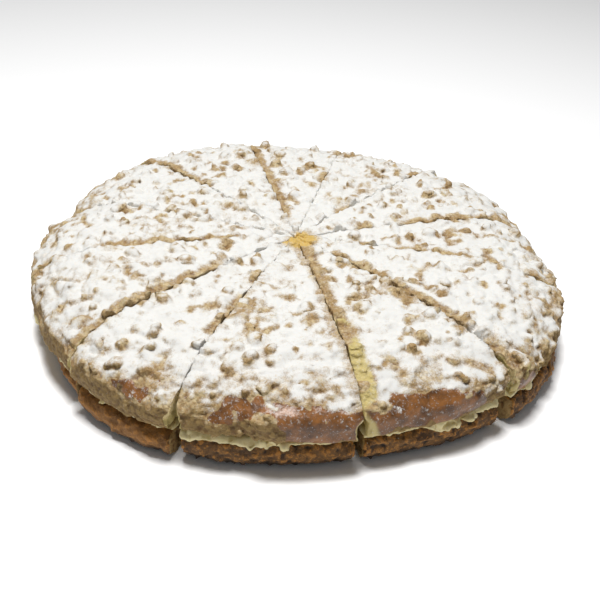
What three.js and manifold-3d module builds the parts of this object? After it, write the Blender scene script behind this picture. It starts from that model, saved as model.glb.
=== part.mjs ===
// A round streusel pastry, split, filled with cream and cut into twelve slices that still stand together.
// Each slice is three pieces that lift apart: a base, a bed of cream, and a top baked with streusel.
// Millimetres, +Z up. The origin is on the surface that the pastry stands on, at the middle of its outline.
import * as THREE from "three";
import { mergeVertices } from "three/addons/utils/BufferGeometryUtils.js";
import Module from "manifold-3d";

// Driving dimensions.
const RADIUS = 140;
const BASE_HEIGHT = 14;
const TOP_HEIGHT = 27;
const CREAM_INSET = 5;
const LAYER_GAP = 0.3;
const KNIFE_KERF = 0.9;
const TIP_RADIUS = 2.5;
const CRUMBLED_EDGE = { width: 2.4, depth: 6 };

// The hand-shaped round is a little uneven: [share of the radius, lobes, direction of a lobe in degrees].
const UNEVENNESS = [
  [0.010, 2, -42],
  [0.014, 3, -11],
  [0.012, 4, -41],
  [0.010, 5, -31],
];

// Where the rim swells or is dented: [share of the radius, direction and half width in degrees].
const SWELLINGS = [
  [0.018, 142, 10],
  [-0.028, 167, 4],
  [0.018, 36, 6],
];
const BASE_DENT = [-0.03, 207, 15];

// The slices, anticlockwise from the first cut. Each has the angle where it ends, the angle that the cut
// after it stands open, the thickness of its cream, and how far its base, cream and top slid outwards.
const FIRST_CUT = { angle: -75.7, open: 1.1 };
const SLICES = [
  { end: -44.3, open: 2.0, cream: 4.2, slide: [0.0, 0.4, 0.0] },
  { end: -11.5, open: 0.6, cream: 4.0, slide: [2.4, 0.8, 0.0] },
  { end: 16, open: 0.8, cream: 3.4, slide: [0.0, 0.0, 0.6] },
  { end: 49, open: 0.2, cream: 3.8, slide: [0.4, 0.2, 0.0] },
  { end: 77.5, open: 0.8, cream: 4.0, slide: [0.0, 0.0, 0.5] },
  { end: 106, open: 1.4, cream: 3.6, slide: [0.4, 0.0, 0.0] },
  { end: 136.5, open: 0.9, cream: 4.2, slide: [0.0, 0.0, 0.6] },
  { end: 166, open: 0.2, cream: 3.8, slide: [0.3, 0.0, 0.0] },
  { end: 194, open: 0.7, cream: 3.6, slide: [0.0, 0.2, 0.0] },
  { end: 225.5, open: 1.4, cream: 4.0, slide: [0.2, 0.2, 0.0] },
  { end: 250.5, open: 0.9, cream: 3.4, slide: [2.6, 0.6, 2.0] },
  { end: 284.3, open: 1.1, cream: 4.4, slide: [0.0, 1.6, 1.8] },
];

// Fineness of the facets.
const LATHE_SEGMENTS = 90;
const CURVE_STEPS = 4;
const RING_STEP = 9;

const CRUMB = new THREE.MeshStandardMaterial({ color: 0xb07f48, roughness: 0.9, metalness: 0 });
const CREAM = new THREE.MeshStandardMaterial({ color: 0xe9dfa6, roughness: 0.45, metalness: 0 });
const STREUSEL = new THREE.MeshStandardMaterial({ color: 0xf2ead9, roughness: 0.95, metalness: 0 });

const wasm = await Module();
wasm.setup();

const radians = THREE.MathUtils.degToRad;

// What one swelling adds to the outline in one direction.
function swelling([share, at, width], angle) {
  const turn = Math.sin((angle - radians(at)) / 2) / Math.sin(radians(width) / 2);
  return share * Math.exp(-turn * turn);
}

// The outline's radius in one direction, as a share of RADIUS.
function outlineShare(angle) {
  const lobes = UNEVENNESS.map(([share, count, at]) => share * Math.cos(count * (angle - radians(at))));
  const swellings = SWELLINGS.map((place) => swelling(place, angle));
  return [...lobes, ...swellings].reduce((sum, part) => sum + part, 1);
}

// The same for the base, whose rim was pressed in on one side.
function baseShare(angle) {
  return outlineShare(angle) + swelling(BASE_DENT, angle);
}

// Height of the dome over the streusel's shoulder: highest halfway out, sunk a little at the middle.
function domeHeight(radius) {
  const out = radius / RADIUS;
  return TOP_HEIGHT * (0.92 + 0.3 * out - 0.28 * out * out);
}

// Lumps of the streusel bed.
function streuselRelief(x, y) {
  const across = Math.sin(x / 4.9 + 1.3 * Math.sin(y / 11));
  const along = Math.cos(y / 4.5 + 0.9 * Math.sin(x / 9));
  return 1.3 * across * along;
}

// Profiles run from the axis along the underside, up the side and back to the axis along the top.
function baseProfile() {
  const path = new THREE.Path().moveTo(0, 0);
  path.lineTo(RADIUS - 11, 0);
  path.quadraticCurveTo(RADIUS - 4, 0.5, RADIUS - 2.5, 6);
  path.quadraticCurveTo(RADIUS - 2, 11, RADIUS - 6, BASE_HEIGHT);
  path.lineTo(0, BASE_HEIGHT);
  return path.getPoints(CURVE_STEPS);
}

function creamProfile(thickness) {
  const edge = RADIUS - CREAM_INSET;
  const path = new THREE.Path().moveTo(0, 0);
  path.lineTo(edge - 3, 0);
  path.quadraticCurveTo(edge + 2, thickness / 2, edge - 3, thickness);
  path.lineTo(0, thickness);
  return path.getPoints(CURVE_STEPS);
}

function topProfile() {
  const shoulder = RADIUS - 36;
  const path = new THREE.Path().moveTo(0, 0);
  path.lineTo(RADIUS - 5, 0);
  path.quadraticCurveTo(RADIUS, 1, RADIUS, 6);
  path.bezierCurveTo(RADIUS, 16, RADIUS - 15, domeHeight(shoulder) - 2, shoulder, domeHeight(shoulder));
  for (let radius = shoulder - RING_STEP; radius > 0; radius -= RING_STEP) {
    path.lineTo(radius, domeHeight(radius));
  }
  path.lineTo(0, domeHeight(0));
  return path.getPoints(CURVE_STEPS);
}

// A whole round of one layer: a lathe form pressed to the uneven outline, with relief on its upper side.
function wholeRound(profile, outline, relief = () => 0) {
  const geometry = new THREE.LatheGeometry(profile, LATHE_SEGMENTS).rotateX(Math.PI / 2);
  const places = geometry.getAttribute("position");
  const reliefFrom = TOP_HEIGHT * 0.75;
  for (let i = 0; i < places.count; i++) {
    const share = outline(Math.atan2(places.getY(i), places.getX(i)));
    const x = places.getX(i) * share;
    const y = places.getY(i) * share;
    const z = places.getZ(i);
    places.setXYZ(i, x, y, z > reliefFrom ? z + relief(x, y) : z);
  }
  return solidOf(geometry);
}

// Where the two faces of a slice would meet, each face half a kerf off its cut.
function apexOf(from, to) {
  const offset = KNIFE_KERF / 2 / Math.sin((to - from) / 2);
  return pointAt((from + to) / 2, offset);
}

function pointAt(angle, radius, origin = new THREE.Vector2()) {
  return new THREE.Vector2(Math.cos(angle), Math.sin(angle)).multiplyScalar(radius).add(origin);
}

// The upright prism between the two faces of a slice, with a blunt tip.
function wedge(from, to) {
  const reach = RADIUS * 1.5;
  const apex = apexOf(from, to);
  const shape = new THREE.Shape([
    pointAt(from, TIP_RADIUS, apex),
    pointAt(from, reach, apex),
    pointAt((from + to) / 2, reach * 1.1, apex),
    pointAt(to, reach, apex),
    pointAt(to, TIP_RADIUS, apex),
  ]);
  const geometry = new THREE.ExtrudeGeometry(shape, { depth: TOP_HEIGHT * 2, bevelEnabled: false });
  return solidOf(geometry.translate(0, 0, -TOP_HEIGHT / 2));
}

// The V that crumbles away along the upper edge of a slice's face.
function edgeGroove(angle, apex) {
  const { width, depth } = CRUMBLED_EDGE;
  const section = new THREE.Shape([
    new THREE.Vector2(0, TOP_HEIGHT - depth),
    new THREE.Vector2(width * 2, TOP_HEIGHT + depth),
    new THREE.Vector2(-width * 2, TOP_HEIGHT + depth),
  ]);
  const geometry = new THREE.ExtrudeGeometry(section, { depth: RADIUS * 1.3, bevelEnabled: false });
  geometry.rotateX(Math.PI / 2).rotateZ(angle + Math.PI / 2);
  return solidOf(geometry.translate(apex.x, apex.y, 0));
}

function solidOf(geometry) {
  geometry.deleteAttribute("normal");
  geometry.deleteAttribute("uv");
  const merged = mergeVertices(geometry);
  return new wasm.Manifold(
    new wasm.Mesh({
      numProp: 3,
      vertProperties: new Float32Array(merged.getAttribute("position").array),
      triVerts: new Uint32Array(merged.index.array),
    }),
  );
}

function geometryOf(solid) {
  const { vertProperties, triVerts } = solid.getMesh();
  const geometry = new THREE.BufferGeometry();
  geometry.setAttribute("position", new THREE.BufferAttribute(vertProperties, 3));
  geometry.setIndex(new THREE.BufferAttribute(triVerts, 1));
  geometry.computeVertexNormals();
  return geometry;
}

function layerMesh(name, solid, material, slide, middle, height) {
  const mesh = new THREE.Mesh(geometryOf(solid), material);
  mesh.name = name;
  mesh.position.set(slide * Math.cos(middle), slide * Math.sin(middle), height);
  return mesh;
}

// The three pieces of one slice, from the surface up.
function sliceOf(slice, number, start, rounds) {
  const from = radians(start.angle + start.open / 2);
  const to = radians(slice.end - slice.open / 2);
  const middle = (from + to) / 2;
  const [baseSlide, creamSlide, topSlide] = slice.slide;
  const creamLevel = BASE_HEIGHT + LAYER_GAP;
  const topLevel = creamLevel + slice.cream + LAYER_GAP;
  const between = wedge(from, to);
  const apex = apexOf(from, to);
  const base = rounds.base.intersect(between);
  const cream = wholeRound(creamProfile(slice.cream), outlineShare).intersect(between);
  const squareTop = rounds.top.intersect(between);
  const top = squareTop.subtract(edgeGroove(from, apex)).subtract(edgeGroove(to, apex));
  const label = String(number).padStart(2, "0");
  const group = new THREE.Group();
  group.add(
    layerMesh(`base_slice_${label}`, base, CRUMB, baseSlide, middle, 0),
    layerMesh(`cream_slice_${label}`, cream, CREAM, creamSlide, middle, creamLevel),
    layerMesh(`top_slice_${label}`, top, STREUSEL, topSlide, middle, topLevel),
  );
  return group;
}

const rounds = {
  base: wholeRound(baseProfile(), baseShare),
  top: wholeRound(topProfile(), outlineShare, streuselRelief),
};

const pastry = new THREE.Group();
let start = FIRST_CUT;
SLICES.forEach((slice, index) => {
  pastry.add(sliceOf(slice, index + 1, start, rounds));
  start = { angle: slice.end, open: slice.open };
});

// The middle of the outline goes to the origin.
const middle = new THREE.Box3().setFromObject(pastry, true).getCenter(new THREE.Vector3());
pastry.position.set(-middle.x, -middle.y, 0);

export default pastry;
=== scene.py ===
"""A round streusel pastry, filled with cream and cut into slices that still stand together, on a pale floor.

Every slice has three pieces that lift apart: a sponge base, a bed of cream, and a top baked with streusel
and dusted with sugar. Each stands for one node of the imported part, in that part's frame: metres, +Z up.
"""

import itertools
import logging
import math
from dataclasses import asdict, dataclass, replace
from enum import Enum

import bpy
import numpy as np
from mathutils import Matrix, Vector


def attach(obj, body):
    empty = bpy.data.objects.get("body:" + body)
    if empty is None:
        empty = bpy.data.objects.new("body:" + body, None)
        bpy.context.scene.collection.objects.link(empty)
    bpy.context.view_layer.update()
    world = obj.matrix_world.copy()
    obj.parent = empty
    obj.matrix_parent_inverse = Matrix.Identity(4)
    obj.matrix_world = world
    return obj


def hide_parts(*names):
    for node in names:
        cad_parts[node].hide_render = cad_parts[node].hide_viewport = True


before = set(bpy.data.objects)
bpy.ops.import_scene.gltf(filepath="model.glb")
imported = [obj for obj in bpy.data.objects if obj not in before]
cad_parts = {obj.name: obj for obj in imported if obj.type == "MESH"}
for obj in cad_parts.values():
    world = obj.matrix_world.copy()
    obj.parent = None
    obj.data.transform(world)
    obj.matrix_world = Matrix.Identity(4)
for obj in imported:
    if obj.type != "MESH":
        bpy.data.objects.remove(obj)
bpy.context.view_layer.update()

MM = 0.001
NEXT_TO_NOTHING = 0.001 * MM

# How many facets away the surroundings are that a hollow is measured against.
HOLLOW_REACH = 5
LOG = logging.getLogger("streusel_pastry")


# ---------------------------------------------------------------- shaping by numbers


def lattice(cells: np.ndarray, seed: int) -> np.ndarray:
    """Gives one pseudo-random number from -1 to 1 for each whole-numbered cell.

    Args:
        cells: Whole-numbered cells, one row each.
        seed: Picks one of many patterns.

    Returns:
        One number for each row.
    """
    mixed = cells @ np.array([73856093, 19349663, 83492791]) + seed * 2654435769
    mixed = (mixed ^ (mixed >> 15)) * 1274126177
    mixed = (mixed ^ (mixed >> 13)) * 2246822519
    return ((mixed ^ (mixed >> 16)) & 0xFFFFFF) / 0x7FFFFF - 1.0


def noise(points: np.ndarray, size: float, seed: int) -> np.ndarray:
    """Gives a smooth random field, from -1 to 1, at some points.

    Args:
        points: Places in space, one row each.
        size: Width of one lump of the field.
        seed: Picks one of many fields.

    Returns:
        One number for each point.
    """
    grid = points / size
    cells = np.floor(grid).astype(np.int64)
    share = grid - cells
    share = share * share * (3 - 2 * share)
    total = np.zeros(len(points))
    for corner in itertools.product((0, 1), repeat=3):
        weight = np.prod(np.where(corner, share, 1 - share), axis=1)
        total += weight * lattice(cells + np.array(corner), seed)
    return total


def fractal(points: np.ndarray, size: float, seed: int, octaves: int = 3) -> np.ndarray:
    """Adds finer and weaker copies of the noise to itself.

    Args:
        points: Places in space, one row each.
        size: Width of the largest lumps.
        seed: Picks one of many fields.
        octaves: How many copies are added.

    Returns:
        One number for each point.
    """
    return sum(noise(points, size / 2**k, seed + 17 * k) / 2**k for k in range(octaves))


def smooth(low: float, high: float, values: np.ndarray) -> np.ndarray:
    """Rises smoothly from 0 at low to 1 at high, or falls if low is above high.

    Args:
        low: Where the result is 0.
        high: Where the result is 1.
        values: The numbers to judge.

    Returns:
        One share from 0 to 1 for each value.
    """
    share = np.clip((values - low) / (high - low), 0.0, 1.0)
    return share * share * (3 - 2 * share)


@dataclass(frozen=True)
class Lumps:
    """Random lumps: their height and width, which of many patterns they take, and how many finer copies."""

    height: float
    width: float
    pattern: int = 0
    octaves: int = 1

    def at(self, points: np.ndarray, seed: int) -> np.ndarray:
        """Gives their height at some points of the piece that the seed belongs to."""
        return self.height * fractal(points, self.width, seed + self.pattern, self.octaves)


@dataclass(frozen=True)
class Patches:
    """Random patches: the levels of the noise at which they begin and are full, and their width."""

    low: float
    high: float
    width: float
    pattern: int = 0

    def at(self, points: np.ndarray, seed: int) -> np.ndarray:
        """Gives how far some points lie in a patch, from 0 to 1, on the piece that the seed belongs to."""
        return smooth(self.low, self.high, noise(points, self.width, seed + self.pattern))


def pile(lumps: tuple[Lumps, ...], points: np.ndarray, seed: int) -> np.ndarray:
    """Adds several kinds of lumps up."""
    return sum(kind.at(points, seed) for kind in lumps)


def ray(angle: float) -> np.ndarray:
    """Gives the unit vector that points outwards in one direction, in radians."""
    return np.array([math.cos(angle), math.sin(angle)])


def span(points: np.ndarray, middle: tuple[float, float] = (0.0, 0.0)) -> np.ndarray:
    """Gives each point's level distance from an upright line."""
    return np.hypot(points[:, 0] - middle[0], points[:, 1] - middle[1])


def make_mesh(name: str, points: np.ndarray, faces: list[tuple[int, ...]]) -> bpy.types.Mesh:
    """Makes a mesh from points and faces.

    Args:
        name: Name of the mesh.
        points: One row for each vertex.
        faces: Vertex numbers of each face.

    Returns:
        The mesh, with its faces as given.
    """
    mesh = bpy.data.meshes.new(name)
    mesh.from_pydata([tuple(point) for point in points], [], faces)
    mesh.update()
    return mesh


class Surface:
    """A mesh held as arrays, so that its points can be shaped all at once."""

    def __init__(self, mesh: bpy.types.Mesh) -> None:
        """Reads the points and edges of the mesh.

        Args:
            mesh: The mesh to shape.
        """
        self.mesh = mesh
        count = len(mesh.vertices)
        flat = np.empty(count * 3, np.float32)
        mesh.vertices.foreach_get("co", flat)
        self.points = flat.reshape(-1, 3).astype(float)
        ends = np.empty(len(mesh.edges) * 2, np.int32)
        mesh.edges.foreach_get("vertices", ends)
        self.edges = ends.reshape(-1, 2)
        self.links = np.maximum(np.bincount(ends, minlength=count), 1)

    def normals(self) -> np.ndarray:
        """Writes the points back and gives the outward direction at each.

        Returns:
            One unit vector for each point.
        """
        self.write()
        flat = np.empty(len(self.points) * 3, np.float32)
        self.mesh.vertices.foreach_get("normal", flat)
        return flat.reshape(-1, 3).astype(float)

    def blurred(self, values: np.ndarray, times: int) -> np.ndarray:
        """Averages values with their neighbours' values.

        Args:
            values: One row, or one number, for each point.
            times: How often the average is taken.

        Returns:
            The averaged values, in the same shape.
        """
        table = values.reshape(len(self.points), -1)
        one, two = self.edges[:, 0], self.edges[:, 1]
        for _ in range(times):
            columns = []
            for column in table.T:
                near = np.bincount(one, column[two], len(column))
                near += np.bincount(two, column[one], len(column))
                columns.append(0.5 * column + 0.5 * near / self.links)
            table = np.stack(columns, axis=1)
        return table.reshape(values.shape)

    def hollows(self, depth: float) -> np.ndarray:
        """Says how far each point lies below its neighbours, as a share of a depth."""
        below = (self.blurred(self.points, HOLLOW_REACH) - self.points) * self.normals()
        return below.sum(1) / depth

    def keep(self, name: str, values: np.ndarray) -> None:
        """Stores one number for each point on the mesh, for the finish to read."""
        layer = self.mesh.attributes.get(name) or self.mesh.attributes.new(name, "FLOAT", "POINT")
        layer.data.foreach_set("value", np.clip(values, -1, 1).astype(np.float32))

    def write(self) -> None:
        """Puts the shaped points into the mesh."""
        self.mesh.vertices.foreach_set("co", self.points.astype(np.float32).ravel())
        self.mesh.update()


# ---------------------------------------------------------------- finishes


def tint(red: int, green: int, blue: int) -> tuple[float, float, float, float]:
    """Turns a screen colour, 0 to 255 in each part, into the light it stands for."""
    parts = [c / 255 / 12.92 if c <= 10 else ((c / 255 + 0.055) / 1.055) ** 2.4 for c in (red, green, blue)]
    return (*parts, 1.0)


class Nodes:
    """A node tree that is built one node at a time."""

    def __init__(self, tree: bpy.types.NodeTree) -> None:
        """Takes the tree that nodes are added to."""
        self.tree = tree

    def feed(self, socket: bpy.types.NodeSocket, given: object) -> None:
        """Feeds one socket.

        Args:
            socket: The socket to feed.
            given: The socket or Value that it is linked to, or its own plain value.
        """
        source = given.socket if isinstance(given, Value) else given
        if isinstance(source, bpy.types.NodeSocket):
            self.tree.links.new(source, socket)
        else:
            socket.default_value = source

    def add(self, kind: str, settings: dict | None = None, inputs: dict | None = None) -> bpy.types.Node:
        """Adds a node.

        Args:
            kind: The node's type.
            settings: Its own settings, set first.
            inputs: What feeds each socket, by name or number.

        Returns:
            The new node.
        """
        node = self.tree.nodes.new(kind)
        for key, setting in (settings or {}).items():
            setattr(node, key, setting)
        for key, given in (inputs or {}).items():
            self.feed(node.inputs[key], given)
        return node


class Value:
    """A number inside a finish that varies over the surface, with ordinary sums."""

    def __init__(self, recipe: "Recipe", socket: bpy.types.NodeSocket) -> None:
        """Wraps the socket that the number comes out of."""
        self.recipe = recipe
        self.socket = socket

    def _sum(self, operation: str, one: object, two: object) -> "Value":
        """Adds the node for one operation on two numbers."""
        node = self.recipe.add("ShaderNodeMath", {"operation": operation}, {0: one, 1: two})
        return Value(self.recipe, node.outputs[0])

    def __add__(self, other: object) -> "Value":
        """Adds."""
        return self._sum("ADD", self, other)

    def __radd__(self, other: object) -> "Value":
        """Adds, from the right."""
        return self._sum("ADD", other, self)

    def __sub__(self, other: object) -> "Value":
        """Takes away."""
        return self._sum("SUBTRACT", self, other)

    def __rsub__(self, other: object) -> "Value":
        """Is taken away."""
        return self._sum("SUBTRACT", other, self)

    def __mul__(self, other: object) -> "Value":
        """Multiplies."""
        return self._sum("MULTIPLY", self, other)

    def __rmul__(self, other: object) -> "Value":
        """Multiplies, from the right."""
        return self._sum("MULTIPLY", other, self)

    def rise(self, low: float, high: float) -> "Value":
        """Turns this into a share.

        Args:
            low: Where the share is 0.
            high: Where the share is 1.

        Returns:
            A share that rises smoothly in between.
        """
        sockets = {"Value": self, "From Min": low, "From Max": high}
        node = self.recipe.add("ShaderNodeMapRange", {"interpolation_type": "SMOOTHSTEP"}, sockets)
        return Value(self.recipe, node.outputs["Result"])


class Recipe(Nodes):
    """The node tree of one finish."""

    def __init__(self, name: str) -> None:
        """Starts an empty finish.

        Args:
            name: Name of the material.
        """
        self.material = bpy.data.materials.new(name)
        self.material.use_nodes = True
        super().__init__(self.material.node_tree)
        self.tree.nodes.clear()
        self.place = self.add("ShaderNodeTexCoord").outputs["Object"]

    def moved(self, offset: float) -> bpy.types.NodeSocket:
        """Gives places moved aside, so that two patterns of the same size differ."""
        node = self.add("ShaderNodeVectorMath", {"operation": "ADD"}, {0: self.place, 1: (offset,) * 3})
        return node.outputs[0]

    def stored(self, name: str) -> Value:
        """Reads a number that was stored on the mesh."""
        return Value(self, self.add("ShaderNodeAttribute", {"attribute_name": name}).outputs["Fac"])

    def grain(self, size: float, detail: float = 2.0, offset: float = 0.0) -> Value:
        """Adds cloudy noise.

        Args:
            size: Width of one cloud, in metres.
            detail: How many finer layers it has.
            offset: How far the pattern is moved aside.

        Returns:
            A number about 0.5, from 0 to 1.
        """
        sockets = {"Vector": self.moved(offset), "Scale": 1 / size, "Detail": detail, "Roughness": 0.6}
        return Value(self, self.add("ShaderNodeTexNoise", {}, sockets).outputs["Fac"])

    def cells(self, size: float) -> Value:
        """Adds packed granules of one width: 0 in the middle of each, about 0.6 between them."""
        node = self.add("ShaderNodeTexVoronoi", {}, {"Vector": self.place, "Scale": 1 / size})
        return Value(self, node.outputs["Distance"])

    def mix(self, share: Value, first: object, second: object) -> bpy.types.NodeSocket:
        """Mixes two colours.

        Args:
            share: How much of the second colour there is.
            first: A colour, or the socket of one.
            second: A colour, or the socket of one.

        Returns:
            The mixed colour's socket.
        """
        node = self.add("ShaderNodeMix", {"data_type": "RGBA"})
        sockets = [node.inputs["Factor"]] + [s for s in node.inputs if s.type == "RGBA"]
        for socket, given in zip(sockets, (share, first, second)):
            self.feed(socket, given)
        return next(s for s in node.outputs if s.type == "RGBA")

    def bump(self, height: Value, depth: float, strength: float = 1.0) -> bpy.types.NodeSocket:
        """Turns a height into relief too fine for the mesh."""
        sockets = {"Height": height, "Distance": depth, "Strength": strength}
        return self.add("ShaderNodeBump", {}, sockets).outputs["Normal"]

    def finish(self, colour: object, roughness: object, normal: object, fixed: dict) -> bpy.types.Material:
        """Ends the finish with a surface.

        Args:
            colour: The colour's socket.
            roughness: A number or Value.
            normal: The relief's socket.
            fixed: Numbers that are the same all over, by socket.

        Returns:
            The finished material.
        """
        sockets = {"Base Color": colour, "Roughness": roughness, "Normal": normal, **fixed}
        surface = self.add("ShaderNodeBsdfPrincipled", {}, sockets)
        self.add("ShaderNodeOutputMaterial", {}, {"Surface": surface.outputs[0]})
        return self.material


def glow(weight: float, colour: tuple[float, float, float], depth: float) -> dict[str, object]:
    """Gives the fixed numbers of light that passes some way under the surface, coloured on its way."""
    return {"Subsurface Weight": weight, "Subsurface Radius": colour, "Subsurface Scale": depth}


@dataclass(frozen=True)
class StreuselFinish:
    """Golden crumbs, brown crust at the rim, pale dough where it is cut, and powdered sugar on top."""

    butter: tuple = tint(200, 181, 140)
    golden: tuple = tint(158, 128, 82)
    # Toasted brown, also used as painted shade in hollows and between granules.
    toasted: tuple = tint(124, 92, 50)
    crust: tuple = tint(146, 95, 46)
    crust_dark: tuple = tint(80, 50, 24)
    wall: tuple = tint(142, 116, 68)
    wall_shade: tuple = tint(96, 72, 38)
    dough: tuple = tint(208, 188, 136)
    cream: tuple = tint(192, 174, 112)
    custard: tuple = tint(202, 168, 88)
    sugar: tuple = tint(215, 214, 210)
    lump: float = 6 * MM
    grit: float = 1.1 * MM
    granule: float = 1.7 * MM
    dust: float = 1.9 * MM
    speck: float = 0.6 * MM

    def material(self) -> bpy.types.Material:
        """Builds the finish.

        Returns:
            The material.
        """
        r = Recipe("Streusel")
        sugar, crust, cut, hollow = (r.stored(name) for name in ("sugar", "crust", "cut", "hollow"))
        lumps, fine = r.grain(self.lump, 3), r.grain(self.grit, 3, 0.3)
        dust, speck = r.grain(self.dust, 3, 0.9), r.grain(self.speck, 2, 0.7)
        granules = r.cells(self.granule)
        crumbs = r.mix((lumps + 0.5 * fine).rise(0.48, 0.88), self.butter, self.golden)
        wall = r.mix((fine * 0.8 + hollow * 0.7 + lumps * 0.3).rise(0.3, 0.9), self.wall, self.wall_shade)
        crumbs = r.mix((r.stored("wall") + 0.5 * lumps - 0.25).rise(0.3, 0.7), crumbs, wall)
        # Painted shade: the toasted brown gathers in hollows and between granules, where shade falls, over a
        # random toasted tone.
        between = (hollow * 0.7 + granules * 0.8 + fine * 0.5 - 0.5).rise(0.1, 0.9)
        crumbs = r.mix(between, crumbs, self.toasted)
        brown = r.mix((lumps * 0.9 + fine * 0.3).rise(0.38, 0.8), self.crust, self.crust_dark)
        crumbs = r.mix(crust.rise(0.3, 0.7), crumbs, brown)
        # The cut dough turns golden at random and in its hollows; in the hollows this is painted shade.
        inside = r.mix((fine * 0.9 + hollow * 0.5).rise(0.35, 0.85), self.dough, self.golden)
        crumbs = r.mix((cut + 0.4 * lumps - 0.2).rise(0.35, 0.75), crumbs, inside)
        crumbs = r.mix((r.stored("smear") + 0.5 * lumps - 0.25).rise(0.25, 0.7), crumbs, self.cream)
        crumbs = r.mix((r.stored("pool") + 0.6 * lumps - 0.3).rise(0.3, 0.7), crumbs, self.custard)
        flecks = (fine - 0.5) * crust * 2.2
        white = (sugar + 0.9 * dust + 0.8 * speck + flecks - 0.85).rise(0.1, 0.98)
        colour = r.mix(white, crumbs, self.sugar)
        bare = 1 - white
        roughness = 0.92 - 0.48 * (crust.rise(0.3, 0.8) * bare) - 0.1 * bare
        grit = (0.8 * fine - granules) * (0.06 + 0.94 * bare) * (1 - 0.85 * crust)
        normal = r.bump(grit + 0.12 * speck + 0.12 * dust, 0.9 * MM, 0.75)
        return r.finish(colour, roughness, normal, glow(0.12, (1.0, 0.8, 0.6), 0.8 * MM))


@dataclass(frozen=True)
class CreamFinish:
    """Soft, moist, pale yellow custard cream."""

    light: tuple = tint(216, 202, 152)
    # Deeper yellow, also used as painted shade in hollows.
    deep: tuple = tint(184, 162, 98)
    crumb: tuple = tint(170, 136, 80)
    cloud: float = 7 * MM
    grit: float = 1.2 * MM

    def material(self) -> bpy.types.Material:
        """Builds the finish.

        Returns:
            The material.
        """
        r = Recipe("Custard cream")
        clouds, fine = r.grain(self.cloud, 2, 0.1), r.grain(self.grit, 3, 0.5)
        # Deeper yellow in random clouds and in hollows; in the hollows it is painted shade.
        colour = r.mix((clouds + 0.7 * r.stored("hollow")).rise(0.35, 0.8), self.light, self.deep)
        colour = r.mix((fine + 0.4 * clouds).rise(0.84, 0.98), colour, self.crumb)
        roughness = 0.32 + 0.25 * fine
        normal = r.bump(fine + 0.6 * clouds, 0.5 * MM, 0.5)
        return r.finish(colour, roughness, normal, glow(0.3, (1.0, 0.9, 0.5), 2 * MM))


@dataclass(frozen=True)
class SpongeFinish:
    """Porous baked dough: browned outside, pale yellow where the knife went through."""

    golden: tuple = tint(124, 88, 44)
    brown: tuple = tint(74, 50, 27)
    dark: tuple = tint(36, 25, 15)
    amber: tuple = tint(176, 120, 54)
    dough: tuple = tint(160, 130, 80)
    sugar: tuple = tint(214, 212, 208)
    cloud: float = 8 * MM
    grit: float = 1.0 * MM
    pore: float = 1.6 * MM

    def material(self) -> bpy.types.Material:
        """Builds the finish.

        Returns:
            The material.
        """
        r = Recipe("Sponge")
        cut, hollow, sugar = r.stored("cut"), r.stored("hollow"), r.stored("sugar")
        clouds, fine = r.grain(self.cloud, 3, 0.2), r.grain(self.grit, 3, 0.6)
        # Brown and golden crust in random clouds, a little browner in hollows as painted shade.
        crust = r.mix((clouds + 0.4 * fine - 0.25 * hollow).rise(0.44, 0.86), self.brown, self.golden)
        # Painted shade: dark in pores, hollows and the gaps between granules, with random dark specks.
        pores = (hollow + 0.7 * fine + 0.5 * r.cells(self.pore) - 0.5).rise(0.1, 1.0)
        crust = r.mix(pores, crust, self.dark)
        crust = r.mix((fine + 0.3 * clouds - 0.3 * hollow).rise(0.7, 0.9), crust, self.amber)
        crust = r.mix(0.4 * r.stored("pale"), crust, self.amber)
        # Darker towards the bottom of the base.
        crust = r.mix((r.stored("low") + 0.5 * clouds - 0.25).rise(0.1, 1.1), crust, self.dark)
        # The cut dough turns golden at random and in its hollows; in the hollows this is painted shade.
        inside = r.mix((fine + 0.6 * hollow).rise(0.4, 0.95), self.dough, self.golden)
        colour = r.mix((cut + 0.4 * clouds - 0.2).rise(0.35, 0.7), crust, inside)
        colour = r.mix((sugar + 0.8 * fine - 0.4).rise(0.45, 0.6), colour, self.sugar)
        normal = r.bump(fine + 0.5 * clouds, 1.0 * MM, 0.9)
        return r.finish(colour, 0.68 + 0.2 * fine, normal, glow(0.08, (1.0, 0.6, 0.3), 0.8 * MM))


@dataclass(frozen=True)
class FloorFinish:
    """Plain pale studio floor."""

    pale: tuple = tint(255, 255, 255)
    shade: tuple = tint(252, 252, 252)
    cloud: float = 400 * MM
    grit: float = 2 * MM

    def material(self) -> bpy.types.Material:
        """Builds the finish.

        Returns:
            The material.
        """
        r = Recipe("Pale floor")
        colour = r.mix(r.grain(self.cloud, 1), self.pale, self.shade)
        return r.finish(colour, 0.9, r.bump(r.grain(self.grit), 0.05 * MM, 0.1), {})


# ---------------------------------------------------------------- what repeats


@dataclass(frozen=True)
class Crumbs:
    """One kind of crumb: the least space between two, how many to a square metre, radii, and knobbliness."""

    spacing: float
    crowd: float
    smallest: float
    largest: float
    knobbliness: float


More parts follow.
